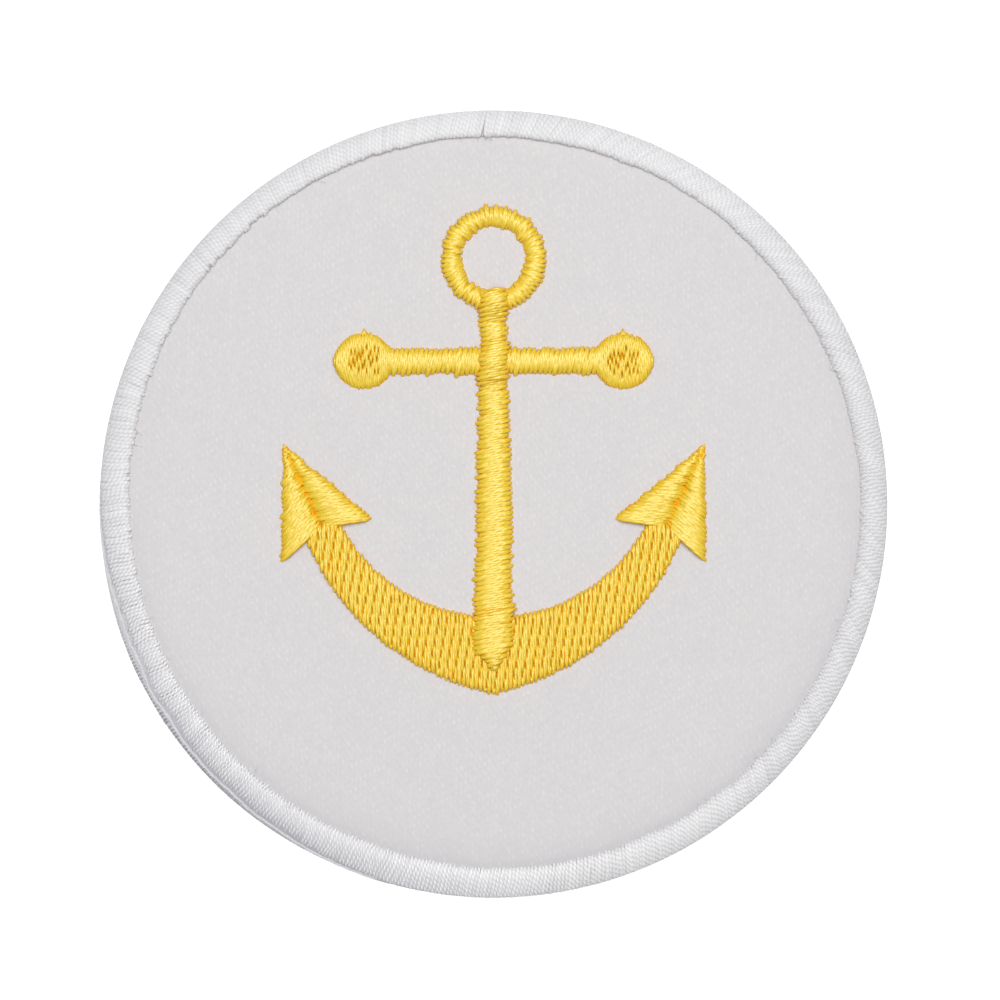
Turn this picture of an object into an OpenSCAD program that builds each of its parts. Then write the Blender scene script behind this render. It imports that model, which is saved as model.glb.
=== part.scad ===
// Round embroidered patch: a twill ground held in an overlocked border, with an
// anchor raised on it in satin and tatami stitch. All sizes are in millimetres.
// The patch lies in the XY plane with its face up and its middle at the origin.

/* [Patch] */
// Outer diameter over the border
patch_d = 76.2; // [70:0.2:100]

/* [Ground] */
// Thickness of the twill with its stiff back
ground_t = 1; // [0.8:0.05:1.6]

/* [Border] */
// Width of the border seen from above
border_w = 2.7; // [2.3:0.1:3.4]
// Thickness of the border under the ground
border_under = 0.4; // [0.3:0.05:0.6]
// Height of the border's crown over the ground
border_crown = 0.8; // [0.6:0.05:1.1]
// Height of the border's inner edge over the ground
border_lip = 0.35; // [0.2:0.05:0.5]
// Thickness of the thread outside the ground's cut edge
border_edge = 0.8; // [0.6:0.05:1.2]
// Clearance between the border and the ground that it grips
border_gap = 0.03; // [0.02:0.01:0.1]

/* [Stitching] */
// Height of a satin column's crown over the ground
satin_h = 0.75; // [0.6:0.05:1.1]
// Height of the tatami fill over the ground
fill_h = 0.5; // [0.4:0.05:0.7]
// Height of the thread at a stitched edge
edge_h = 0.3; // [0.2:0.05:0.35]
// Thickness of a satin column where it crosses another piece
cross_t = 0.5; // [0.4:0.05:0.8]
// Clearance between one stitched piece and the next, or the ground
stitch_gap = 0.04; // [0.02:0.01:0.1]

/* [Ring] */
// Height of the ring's top above the patch's middle
anchor_top = 29; // [27:0.5:31]
// Outer diameter of the ring
ring_d = 10.6; // [8:0.2:12]
// Width of the ring's band
ring_band = 2.4; // [1.8:0.1:3]

/* [Crossbar] */
// Distance from the ring's foot to the crossbar's middle line
stock_drop = 4.6; // [4:0.1:6]
// Length of the crossbar between the middles of its end discs
stock_l = 25; // [20:0.5:30]
// Width of the crossbar
stock_w = 3; // [2.4:0.1:3.6]
// Diameter of the discs at the crossbar's ends
disc_d = 5.8; // [4.6:0.1:7]

/* [Arms] */
// Distance from the patch's middle down to the crown's point
crown_drop = 18.5; // [16:0.5:21]
// Width over the two arms, level with the middle of their curve
arms_w = 40; // [34:0.5:44]
// Width of one arm, level with the middle of their curve
arm_w = 3.3; // [2.8:0.1:4]
// Distance that each arm's outer arc is set over, which points the crown
crown_set = 5; // [3:0.5:7]
// Angle below level at which an arm ends
arm_end = 25; // [18:1:32]

/* [Flukes] */
// Width of a fluke over its barbs
fluke_w = 10.4; // [8:0.2:12]
// Length of a fluke from the arm's end to its point
fluke_l = 8.6; // [7:0.2:11]
// Distance that the barbs reach back past the arm's end
fluke_barb = 2; // [1:0.1:3]
// Fall of the fluke's crown towards its point
fluke_fall = 2; // [1:0.5:2.5]

/* [Shank] */
// Width of the shank under the ring
shank_top_w = 3; // [2.4:0.1:3.6]
// Width of the shank above the crown
shank_foot_w = 4.3; // [3.6:0.1:5]
// Distance from the shank's point to the crown's point
shank_stop = 2.6; // [2:0.1:4]
// Length over which the shank climbs onto what it crosses
climb = 0.9; // [0.7:0.1:1.4]

/* [Hidden] */
$fn = 96;
// Steps round a long, shallow arc
fine_fn = 240;

white = "gainsboro";
thread_white = "whitesmoke";
gold = "gold";

// The patch's levels, from its underside up
patch_r = patch_d / 2;
ground_r = patch_r - border_edge;
face_z = border_under + ground_t;
border_t = face_z + border_crown;

// Levels over the ground
seat_z = face_z + stitch_gap;
satin_z = face_z + satin_h;
fill_z = face_z + fill_h;
edge_z = face_z + edge_h;

// Places along the anchor's middle line
ring_y = anchor_top - ring_d / 2;
ring_foot = anchor_top - ring_d;
stock_y = ring_foot - stock_drop;
crown_y = -crown_drop;
arm_r = arms_w / 2;
arc_r = arm_r + crown_set;
arms_y = crown_y + sqrt(arc_r * arc_r - crown_set * crown_set);
hollow_r = arm_r - arm_w;
far = 2 * arc_r;

// An arm's end, along the ray at arm_end below level: its outer edge, width and middle
end_r = sqrt(arc_r * arc_r - pow(crown_set * sin(arm_end), 2)) - crown_set * cos(arm_end);
end_w = end_r - hollow_r;
end_mid_r = (end_r + hollow_r) / 2;

// Radius of an arc that rises by rise over a chord of width w
function arc_over(w, rise) = (w * w / 4 + rise * rise) / (2 * rise);

// Section of a satin band w wide, from its seat up to an arched crown at x = 0
module crowned_section(w) {
    rise = satin_z - edge_z;
    r = arc_over(w, rise);
    intersection() {
        translate([-w / 2, seat_z]) square([w, satin_z - seat_z]);
        translate([0, satin_z - r]) circle(r, $fn = fine_fn);
    }
}

// A satin bar along X, l long and w wide, with an arched crown
module crowned_bar(l, w) {
    rise = satin_z - edge_z;
    r = arc_over(w, rise);
    intersection() {
        translate([-l / 2, -w / 2, seat_z]) cube([l, w, satin_z - seat_z]);
        translate([-l, 0, satin_z - r]) rotate([0, 90, 0])
            cylinder(r = r, h = 2 * l, $fn = fine_fn);
    }
}

// Ground: a flat cut disc
module ground() {
    color(white)
    translate([0, 0, border_under]) cylinder(r = ground_r - border_gap, h = ground_t);
}

// Section of the border: round outside, crowned on top, flat underneath
module border_section() {
    round_r = border_t / 2;
    fall = border_crown - border_lip;
    run = border_w - round_r;
    crown_r = (run * run + fall * fall) / (2 * fall);
    intersection() {
        union() {
            translate([patch_r - round_r, round_r]) circle(round_r);
            translate([patch_r - border_w, 0]) square([run, border_t]);
        }
        translate([patch_r - round_r, border_t - crown_r]) circle(crown_r);
    }
}

// Border: the section turned round the patch, slotted for the ground's edge
module border() {
    slot_z = border_under - border_gap;
    slot_t = ground_t + 2 * border_gap;
    color(thread_white)
    rotate_extrude() difference() {
        border_section();
        translate([patch_r - 2 * border_w, slot_z]) square([2 * border_w - border_edge, slot_t]);
    }
}

// Ring: an open band in satin
module anchor_ring() {
    color(gold)
    translate([0, ring_y]) rotate_extrude()
        translate([(ring_d - ring_band) / 2, 0]) crowned_section(ring_band);
}

// A place on one side of the crossbar's middle: -1 is left and 1 is right
module stock_place(side) {
    translate([side * stock_l / 2, stock_y]) children();
}

// Crossbar: a satin bar that stops short of its end discs
module anchor_stock() {
    color(gold)
    difference() {
        translate([0, stock_y]) crowned_bar(stock_l, stock_w);
        for (side = [-1, 1])
            stock_place(side) cylinder(r = disc_d / 2 + stitch_gap, h = 2 * satin_z);
    }
}

// End disc: a satin disc, highest in its middle
module stock_end(side) {
    color(gold)
    stock_place(side) rotate_extrude() intersection() {
        crowned_section(disc_d);
        square([disc_d, 2 * satin_z]);
    }
}

// Plan of both arms, drawn in by inset all round: two arcs that meet in the
// crown's point, less the hollow between the arms
module arms_plan(inset) {
    difference() {
        intersection() {
            translate([crown_set, arms_y]) circle(arc_r - inset);
            translate([-crown_set, arms_y]) circle(arc_r - inset);
            translate([0, arms_y]) polygon([
                [0, 0],
                [far * cos(arm_end), -far * sin(arm_end)],
                [far, -2 * far],
                [-far, -2 * far],
                [-far * cos(arm_end), -far * sin(arm_end)]
            ]);
        }
        translate([0, arms_y]) circle(hollow_r + inset);
    }
}

// Arms: a flat fill with a step round its edge
module anchor_arms() {
    color(gold)
    union() {
        translate([0, 0, seat_z]) linear_extrude(edge_z - seat_z) arms_plan(0);
        translate([0, 0, edge_z]) linear_extrude(fill_z - edge_z) arms_plan(fill_z - edge_z);
    }
}

// The frame of a fluke: at the arm's end, with +X along the arm to the point
module fluke_place(side) {
    mirror([side < 0 ? 1 : 0, 0, 0])
        translate([end_mid_r * cos(arm_end), arms_y - end_mid_r * sin(arm_end)])
        rotate(90 - arm_end) children();
}

// Fluke: a barbed arrow in satin, highest along its middle
module fluke(side) {
    rise = satin_z - edge_z;
    r = arc_over(fluke_w, rise);
    color(gold)
    fluke_place(side) intersection() {
        translate([0, 0, seat_z]) linear_extrude(satin_z - seat_z) polygon([
            [stitch_gap, -end_w / 2],
            [-fluke_barb, -fluke_w / 2],
            [fluke_l, 0],
            [-fluke_barb, fluke_w / 2],
            [stitch_gap, end_w / 2]
        ]);
        translate([0, 0, satin_z - r]) rotate([0, 90 + fluke_fall, 0])
            cylinder(r = r, h = 4 * fluke_l, center = true, $fn = fine_fn);
    }
}

// What the shank lies on, as the level of its underside
ring_seat = satin_z + stitch_gap;
stock_seat = satin_z + stitch_gap;
arms_seat = fill_z + stitch_gap;

// Places down the shank: its head, where it comes off the ring, the crossbar's
// two edges, where it meets the arms, and its point
head_y = ring_foot + ring_band;
stock_top_y = stock_y + stock_w / 2;
stock_low_y = stock_y - stock_w / 2;
arms_edge_y = arms_y - sqrt(hollow_r * hollow_r - shank_foot_w * shank_foot_w / 4);
foot_y = crown_y + shank_stop;

// Width of the shank at height y: it grows evenly down to the arms
function shank_w(y) = shank_top_w + (shank_foot_w - shank_top_w)
    * min(1, (head_y - y) / (head_y - arms_edge_y));

// Columns of the shank's rows
ROW_Y = 0;
ROW_SHARE = 1;
ROW_SEAT = 2;
ROW_THICK = 3;

// The shank from its head down, a row for each section: height on the patch,
// share of the shank's width there, level of the underside, and thickness
satin_t = satin_z - seat_z;
shank_rows = [
    [head_y, 0.55, ring_seat, cross_t * 0.7],
    [head_y - ring_band * 0.4, 1, ring_seat, cross_t],
    [ring_foot, 1, ring_seat, cross_t],
    [ring_foot - climb, 1, seat_z, satin_t],
    [stock_top_y + climb, 1, seat_z, satin_t],
    [stock_top_y, 1, stock_seat, cross_t],
    [stock_low_y, 1, stock_seat, cross_t],
    [stock_low_y - climb, 1, seat_z, satin_t],
    [arms_edge_y + climb, 1, seat_z, satin_t],
    [arms_edge_y, 1, arms_seat, cross_t],
    [foot_y + shank_foot_w / 2, 0.9, arms_seat, cross_t],
    [foot_y, 0.15, arms_seat, cross_t * 0.5]
];

// Steps along the crown of a section
crown_steps = 8;

// One section of the shank: lower corner, crown from left to right, lower corner
function shank_section(row) = let (
        half = row[ROW_SHARE] * shank_w(row[ROW_Y]) / 2,
        side_t = min(edge_z - seat_z, row[ROW_THICK] / 2),
        side_z = row[ROW_SEAT] + side_t,
        rise = row[ROW_THICK] - side_t
    ) concat(
        [[-half, row[ROW_Y], row[ROW_SEAT]]],
        [for (i = [0:crown_steps]) let (a = 180 - 180 * i / crown_steps)
            [half * cos(a), row[ROW_Y], side_z + rise * sin(a)]],
        [[half, row[ROW_Y], row[ROW_SEAT]]]
    );

// Faces of a tube through m sections of n points each, with both ends closed
function tube_faces(m, n) = concat(
    [[for (j = [n - 1:-1:0]) j]],
    [for (i = [0:m - 2], j = [0:n - 1])
        [i * n + j, i * n + (j + 1) % n, (i + 1) * n + (j + 1) % n]],
    [for (i = [0:m - 2], j = [0:n - 1])
        [i * n + j, (i + 1) * n + (j + 1) % n, (i + 1) * n + j]],
    [[for (j = [0:n - 1]) (m - 1) * n + j]]
);

// Shank: a satin column that climbs over the ring, the crossbar and the arms
module anchor_shank() {
    color(gold)
    polyhedron(
        points = [for (row = shank_rows) each shank_section(row)],
        faces = tube_faces(len(shank_rows), crown_steps + 3)
    );
}

ground();
border();
anchor_ring();
anchor_stock();
stock_end(-1);  // stock_end_left
stock_end(1);  // stock_end_right
anchor_arms();
fluke(-1);  // fluke_left
fluke(1);  // fluke_right
anchor_shank();
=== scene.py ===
"""The looks of a round embroidered patch, in which every stitch is a strand of thread that
dives into the cloth at both ends. Shapes are worked out in millimetres and stored in metres."""

import math

import bpy
import numpy as np
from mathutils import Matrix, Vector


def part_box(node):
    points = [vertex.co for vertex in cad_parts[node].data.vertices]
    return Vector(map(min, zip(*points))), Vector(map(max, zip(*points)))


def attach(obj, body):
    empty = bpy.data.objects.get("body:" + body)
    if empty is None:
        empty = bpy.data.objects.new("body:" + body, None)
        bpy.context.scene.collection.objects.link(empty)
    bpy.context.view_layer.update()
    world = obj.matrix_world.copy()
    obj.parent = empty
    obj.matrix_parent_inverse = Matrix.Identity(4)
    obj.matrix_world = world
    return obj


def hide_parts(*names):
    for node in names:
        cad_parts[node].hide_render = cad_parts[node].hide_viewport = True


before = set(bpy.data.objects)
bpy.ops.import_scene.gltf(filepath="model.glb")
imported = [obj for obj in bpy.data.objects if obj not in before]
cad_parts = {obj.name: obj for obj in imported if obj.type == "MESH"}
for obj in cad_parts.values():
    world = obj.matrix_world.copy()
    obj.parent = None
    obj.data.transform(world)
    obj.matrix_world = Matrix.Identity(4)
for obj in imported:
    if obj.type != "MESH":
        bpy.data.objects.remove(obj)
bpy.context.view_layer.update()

MM = 0.001
rng = np.random.default_rng(11)


def node_box(node):
    """Lowest and highest corner of a node, in millimetres."""
    low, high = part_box(node)
    return np.array(low) / MM, np.array(high) / MM


# Levels and radii of the patch, from the frame
BORDER_HIGH = node_box("border")[1]
GROUND_LOW, GROUND_HIGH = node_box("ground")
PATCH_R = BORDER_HIGH[1]
GROUND_R = GROUND_HIGH[1]
FACE_Z = GROUND_HIGH[2]
BACK_Z = GROUND_LOW[2]

# Places along the motif, from the frame
RING_LOW, RING_HIGH = node_box("anchor_ring")
RING_Y = (RING_LOW[1] + RING_HIGH[1]) / 2
RING_R = (RING_HIGH[1] - RING_LOW[1]) / 2
STOCK_LOW, STOCK_HIGH = node_box("anchor_stock")
STOCK_Y = (STOCK_LOW[1] + STOCK_HIGH[1]) / 2
STOCK_W = STOCK_HIGH[1] - STOCK_LOW[1]
SHANK_LOW, SHANK_HIGH = node_box("anchor_shank")
DISC_LOW, DISC_HIGH = node_box("stock_end_right")
DISC_X = (DISC_LOW[0] + DISC_HIGH[0]) / 2
DISC_R = (DISC_HIGH[1] - DISC_LOW[1]) / 2
CROWN_Y = node_box("anchor_arms")[0][1]

# Sizes of the motif that a node's box doesn't give
RING_BAND = 2.4
ARM_R = 20.0
ARM_W = 3.3
CROWN_SET = 5.0
ARM_END = math.radians(25)
FLUKE_W = 10.4
FLUKE_L = 8.6
FLUKE_BARB = 2.0
SHANK_TOP_W = 3.0
SHANK_FOOT_W = 4.3
ARC_R = ARM_R + CROWN_SET
ARMS_Y = CROWN_Y + math.sqrt(ARC_R**2 - CROWN_SET**2)
HOLLOW_R = ARM_R - ARM_W
END_BACK = CROWN_SET * math.cos(ARM_END)
END_SIDE = CROWN_SET * math.sin(ARM_END)
ARM_END_R = math.sqrt(ARC_R**2 - END_SIDE**2) - END_BACK

# Gold thread as it lies in satin
GOLD_W = 0.50
GOLD_H = 0.20
GOLD_SPREAD = 0.05  # share by which the strands' widths differ
SATIN_STEP = 0.235
SATIN_EDGE = 0.16  # rise of a stitch at its ends
SATIN_CROWN = 0.40  # its further rise in the middle
SATIN_ROUGH = 0.1  # how far the needle holes stray
SWELL_LENGTH = 2.4  # shorter stitches rise less in the middle
UNEVEN = 0.009  # how far strands stray up and sideways
SINK = 0.32  # how deep the ends go into the cloth
TIP = 0.26  # share of the width that is left at the ends

# Gold thread in the arms' step fill
FILL_STEP = 0.2075
FILL_LENGTH = 4.13
FILL_OFFSETS = 4
FILL_LEVEL = 0.34
FILL_W = 0.33
FILL_H = 0.24
FILL_ROUGH = 0.06
FILL_DRAW = 0.07  # how far two rows are drawn together at the edge
FILL_NEAR = 0.7  # needle holes nearer to the edge than this move onto it
FILL_SHORTEST = 0.3

# Gold thread in the discs, with split stitches near their middle
DISC_STEP = 0.19
DISC_CROWN = 0.38
DISC_ROUGH = 0.05
DISC_THREAD = 0.4
SPLIT_THREAD = 0.33
SPLIT_REACH = 0.55  # share of the disc's radius that has split stitches
SPLIT_STRAY = 0.055  # share of a stitch by which its dips stray
SPLIT_RISE = 0.1  # a dip is as deep as a stitch this far from its end

# Padding threads under the gold
UNDERLAY_LEVEL = -0.03
UNDERLAY_W = 0.42
UNDERLAY_H = 0.2
UNDERLAY_STEP = 0.72 * UNDERLAY_W
UNDERLAY_INSET = 0.75
# how far the padding threads count as sunk, so that they take the painted shade colour
UNDERLAY_SHADE = 0.8

# Border thread, and the section of the border
BORDER_W = 2.92
BORDER_THREAD = 0.56
BORDER_FLAT = 0.26
BORDER_STITCHES = 640
BORDER_TOP = 2.0
INNER_CORNER = 0.9
OUTER_CORNER = 1.0
OUTER_FALL = 0.09
CORE_DEPTH = 0.15
JOIN = 91.7  # degrees round the patch


# Meshes of strands

def unit(vectors):
    """The vectors at length one."""
    return vectors / np.maximum(np.linalg.norm(vectors, axis=-1, keepdims=True), 1e-9)


def strands(lines, across, width, height, sides=6, tint=None, relief=1.0, sunk=0.0):
    """Tubes with an oval section, one for each row of lines. A tube's point is its centre line's
    point plus cos(a) of half the width across the strand and sin(a) of half the height above
    it, with a going once round. Both ends are closed. Returns arrays that join() puts together."""
    n, m = lines.shape[:2]
    along = unit(np.gradient(lines, axis=1))
    across = np.broadcast_to(across, lines.shape)
    across = unit(across - (across * along).sum(-1, keepdims=True) * along)
    above = np.cross(along, across)
    a = 2 * np.pi * np.arange(sides) / sides
    half_w = np.broadcast_to(width, (n, m))[:, :, None, None] / 2
    half_h = np.broadcast_to(height, (n, m))[:, :, None, None] / 2
    points = (
        lines[:, :, None]
        + half_w * np.cos(a)[:, None] * across[:, :, None]
        + half_h * np.sin(a)[:, None] * above[:, :, None]
    )
    index = np.arange(n * m * sides).reshape(n, m, sides)
    turned = np.roll(index, -1, axis=2)
    quads = np.stack([index[:, :-1], turned[:, :-1], turned[:, 1:], index[:, 1:]], -1)
    caps = np.concatenate([index[:, 0, ::-1], index[:, -1]])
    step = np.linalg.norm(np.diff(lines, axis=1), axis=2)
    length = np.concatenate([np.zeros((n, 1)), np.cumsum(step, axis=1)], axis=1)
    length = length + rng.random((n, 1)) * 5
    u = np.broadcast_to(length[:, :, None], (n, m, sides))
    near_u, far_u = u[:, :-1], u[:, 1:]
    v = np.broadcast_to(np.arange(sides) / sides, near_u.shape)
    next_v = v + 1 / sides
    corners = [(near_u, v), (near_u, next_v), (far_u, next_v), (far_u, v)]
    quad_uv = np.stack([np.stack(corner, -1) for corner in corners], axis=3)
    if tint is None:
        tint = rng.random((n, 1))
    batch = {
        "points": points.reshape(-1, 3),
        "quads": quads.reshape(-1, 4),
        "quad_uv": quad_uv.reshape(-1, 2),
        "caps": caps.reshape(-1, sides),
    }
    for key, values in (("tint", tint), ("relief", relief), ("sunk", sunk)):
        batch[key] = np.repeat(np.broadcast_to(values, (n, m)).ravel(), sides)
    return batch


def grid_mesh(name, points, loops, sizes):
    """A mesh from points in millimetres, the corners of its faces in turn and each face's size."""
    mesh = bpy.data.meshes.new(name)
    mesh.vertices.add(len(points))
    mesh.vertices.foreach_set("co", (points * MM).astype(np.float32).ravel())
    mesh.loops.add(len(loops))
    mesh.loops.foreach_set("vertex_index", loops.astype(np.int32))
    mesh.polygons.add(len(sizes))
    first = np.concatenate([[0], np.cumsum(sizes)[:-1]])
    mesh.polygons.foreach_set("loop_start", first.astype(np.int32))
    mesh.update(calc_edges=True)
    return mesh


def piece(name, mesh):
    """An object at the origin that holds a mesh."""
    obj = bpy.data.objects.new(name, mesh)
    bpy.context.collection.objects.link(obj)
    return obj


def point_values(mesh, name, values):
    """A mesh attribute with one number for each point."""
    numbers = values.astype(np.float32).ravel()
    mesh.attributes.new(name, "FLOAT", "POINT").data.foreach_set("value", numbers)


def join(name, batches):
    """One mesh from several batches of strands, with the strand UV map (millimetres along, share
    of a turn round) and three point attributes: tint, how light a strand is, on the border partly
    painted light and shade, relief, how plainly its twist shows, and sunk, how deep it lies
    between its neighbours, which sets how much painted shade it takes."""
    start = np.cumsum([0] + [len(b["points"]) for b in batches])
    faces = [b["quads"] + s for b, s in zip(batches, start)]
    caps = [b["caps"] + s for b, s in zip(batches, start)]
    uv = [b["quad_uv"] for b in batches]
    uv += [np.zeros((c.size, 2)) for c in caps]
    loops = np.concatenate([f.ravel() for f in faces + caps])
    sizes = np.concatenate([np.full(len(f), f.shape[1]) for f in faces + caps])
    smooth = np.arange(len(sizes)) < sum(len(f) for f in faces)
    mesh = grid_mesh(name, np.concatenate([b["points"] for b in batches]), loops, sizes)
    mesh.polygons.foreach_set("use_smooth", smooth)
    layer = mesh.uv_layers.new(name="strand")
    layer.data.foreach_set("uv", np.concatenate(uv).astype(np.float32).ravel())
    for key in ("tint", "relief", "sunk"):
        point_values(mesh, key, np.concatenate([b[key] for b in batches]))
    return piece(name, mesh)


# Courses of the stitches

def ease(count):
    """Shares from 0 to 1 that lie closer together at both ends."""
    return (1 - np.cos(np.pi * np.linspace(0, 1, count))) / 2


def swell(share, length, crown):
    """How far stitches rise at a share of their way: crown times 1 - (2 share - 1) squared, and
    less on stitches shorter than SWELL_LENGTH."""
    return crown * np.minimum(1, length / SWELL_LENGTH) * (1 - (2 * share - 1) ** 2)


def stitches(start, end, base=0.0, edge=SATIN_EDGE, crown=SATIN_CROWN, dive=0.2, taper=0.7,
             steps=9, width=GOLD_W, height=GOLD_H, hole=None):
    """Stitches that go straight from start to end in plan. Their height over the face is base,
    plus edge, plus the swell; near both ends, over about the length dive, it falls by the sum
    of edge and SINK, where the thread goes into the cloth, and it narrows over the length
    taper. hole has the shares of the way at which each stitch dips into more needle holes, in
    order."""
    t = ease(steps)[None, :]
    if hole is not None:
        stops = np.pad(hole, ((0, 0), (1, 1)), constant_values=((0, 0), (0, 1)))
        legs = [a[:, None] + (b - a)[:, None] * t[:, 1:] for a, b in zip(stops.T, stops.T[1:])]
        t = np.concatenate([stops[:, :1], *legs], axis=1)
    start, end = np.atleast_2d(start), np.atleast_2d(end)
    n = len(start)
    length = np.linalg.norm(end - start, axis=1)[:, None]
    base = np.broadcast_to(base, (n,))[:, None]
    from_end = np.minimum(t, 1 - t) * length
    if hole is not None:
        from_hole = np.abs(t[:, :, None] - hole[:, None]).min(axis=2)
        from_end = np.minimum(from_end, from_hole * length + SPLIT_RISE)
    up = 1 - np.exp(-((from_end / dive) ** 1.5))
    level = FACE_Z + base + (edge + swell(t, length, crown) + SINK) * up - SINK
    level = level + UNEVEN * rng.standard_normal((n, 1))
    plan = start[:, None] + (end - start)[:, None] * t[:, :, None]
    forward = unit(end - start)
    side = np.stack([-forward[:, 1], forward[:, 0]], 1)
    bow = UNEVEN * rng.standard_normal((n, 1)) * np.sin(np.pi * t)
    plan = plan + bow[:, :, None] * side[:, None]
    lines = np.concatenate([plan, level[:, :, None]], axis=2)
    across = np.concatenate([side, np.zeros((n, 1))], axis=1)[:, None]
    pinch = TIP + (1 - TIP) * np.clip(from_end / taper, 0, 1)
    girth = 1 + GOLD_SPREAD * rng.standard_normal((n, 1))
    # where the ends dive into the cloth, sunk gives them the painted shade colour
    return strands(lines, across, width * pinch * girth, height * pinch, sunk=1 - up)


def to_and_fro(left, right):
    """Starts and ends of satin stitches: each goes over to the other edge's next point and the
    one after it comes back, so that two stitches share each needle hole."""
    over = (np.arange(len(left) - 1) % 2 == 0)[:, None]
    start = np.where(over, left[:-1], right[:-1])
    end = np.where(over, right[1:], left[1:])
    return start, end


def jitter(points, along, spread):
    """The points moved at random by about spread along the unit vectors along, and by a quarter
    of it any way."""
    moved = points + spread * rng.standard_normal((len(points), 1)) * along
    return moved + 0.25 * spread * rng.standard_normal(points.shape)


def underlay(left, right, base=0.0, inset=(UNDERLAY_INSET, UNDERLAY_INSET), crown=SATIN_CROWN,
             steps=48, trim=2):
    """Padding threads that run lengthwise under a column, side by side: each stays at its own
    share of the way from the left edge to the right one, and inset is how far inside the two
    edges the first and the last one stay, at most by the share most. They follow the swell of
    the stitches above them, and stop trim stitches before the column's ends."""
    keep = np.linspace(trim, len(left) - 1 - trim, steps).round().astype(int)
    base = np.broadcast_to(base, (len(left),))[keep]
    left, right = left[keep], right[keep]
    gap = np.linalg.norm(right - left, axis=1)
    count = max(2, math.ceil((gap.max() - sum(inset)) / UNDERLAY_STEP))
    most = 0.4
    first, last = [np.clip(d / np.maximum(gap, 1e-6), 0, most) for d in inset]
    share = first + np.linspace(0, 1, count)[:, None] * (1 - first - last)
    plan = left[None] + (right - left)[None] * share[:, :, None]
    z = FACE_Z + UNDERLAY_LEVEL + base + swell(share, gap, crown)
    lines = np.concatenate([plan, z[:, :, None]], axis=2)
    forward = unit(np.gradient(lines, axis=1))
    across = np.stack([-forward[..., 1], forward[..., 0], np.zeros_like(z)], 2)
    return strands(lines, across, UNDERLAY_W, UNDERLAY_H, 4, tint=0.0, sunk=UNDERLAY_SHADE)


def column(left, right, base=0.0, inset=(UNDERLAY_INSET, UNDERLAY_INSET), crown=SATIN_CROWN,
           trim=2):
    """A satin column between two edges, with its underlay and uneven needle holes."""
    across = unit(right - left)
    rough_left, rough_right = [jitter(edge, across, SATIN_ROUGH) for edge in (left, right)]
    start, end = to_and_fro(rough_left, rough_right)
    over = (base[:-1] + base[1:]) / 2 if np.ndim(base) else base
    under = underlay(left, right, base, inset, crown, trim=trim)
    return [stitches(start, end, over, crown=crown), under]


# Pieces of the motif

def ring():
    """A satin band round a circle: stitch i lies along the radius at its own angle, from the
    ring's foot round to it again. The steps are measured a fifth of the band inside its edge."""
    step_r = RING_R - 0.2 * RING_BAND
    count = 2 * round(math.pi * step_r / SATIN_STEP)
    a = np.linspace(0, 2 * np.pi, count + 1) + math.radians(270)
    out = np.stack([np.cos(a), np.sin(a)], 1)
    middle = np.array([0, RING_Y])
    inner, outer = middle + out * (RING_R - RING_BAND), middle + out * RING_R
    return join("ring_satin", column(inner, outer, trim=0))


def stock():
    """A satin bar across: upright stitches that lean a little, side by side along X. It goes a
    little way past the node's ends, into the discs."""
    lean = 0.14 * STOCK_W
    past = 0.3
    x = np.arange(STOCK_LOW[0] - past, STOCK_HIGH[0] + past, SATIN_STEP)
    low = np.stack([x - lean, np.full(len(x), STOCK_LOW[1])], 1)
    high = np.stack([x + lean, np.full(len(x), STOCK_HIGH[1])], 1)
    return join("stock_satin", column(low, high))


def disc(side):
    """A satin disc of upright stitches, chord beside chord, each in needle holes of its own. The
    chords near the middle dip into one or two more holes on their way, by turns, so that the
    dips lie like bricks, and the last stitch is tied off at the top."""
    x = np.arange(-DISC_R + 0.12, DISC_R - 0.1, DISC_STEP)
    chord = np.sqrt(np.maximum(DISC_R**2 - x**2, 0.05))
    middle = np.array([side * DISC_X, STOCK_Y])
    low = middle + np.stack([x, -chord], 1)
    high = middle + np.stack([x, chord], 1)
    up = np.array([[0.0, 1.0]])
    start, end = [jitter(edge, up, DISC_ROUGH) for edge in (low, high)]
    split = np.abs(x) < SPLIT_REACH * DISC_R
    odd = np.arange(len(x)) % 2 == 1
    batches = [stitches(start[~split], end[~split], crown=DISC_CROWN, taper=0.5,
                        width=DISC_THREAD)]
    for some, holes in ((split & odd, [0.5]), (split & ~odd, [0.36, 0.64])):
        stray = rng.standard_normal((some.sum(), len(holes))).clip(-1.5, 1.5)
        batches.append(stitches(start[some], end[some], crown=DISC_CROWN, taper=0.45,
                                width=SPLIT_THREAD, hole=holes + SPLIT_STRAY * stray))
    knot_x = np.array([-0.16, 0.0, 0.14])
    knot_foot = DISC_R - np.array([0.75, 0.6, 0.7])
    knot_head = DISC_R + np.array([0.12, 0.3, 0.15])
    foot = middle + np.stack([knot_x, knot_foot], 1)
    head = middle + np.stack([0.5 * knot_x, knot_head], 1)
    knot = stitches(foot, head, base=0.1, edge=0.2, crown=0.1, dive=0.12, taper=0.2, width=0.24)
    under = underlay(low, high, crown=0.2)
    name = "disc_left_satin" if side < 0 else "disc_right_satin"
    return join(name, [*batches, knot, under])


def arms_span(x):
    """Lowest and highest point of the arms' plan at each x: the outer arcs' foot, and the hollow
    or, past it, the end of the arm."""
    low = ARMS_Y - np.sqrt(np.maximum(ARC_R**2 - (np.abs(x) + CROWN_SET) ** 2, 0))
    hollow = ARMS_Y - np.sqrt(np.maximum(HOLLOW_R**2 - x**2, 0))
    end = ARMS_Y - np.abs(x) * math.tan(ARM_END)
    high = np.where(np.abs(x) < HOLLOW_R * math.cos(ARM_END), hollow, end)
    return low, high


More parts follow.
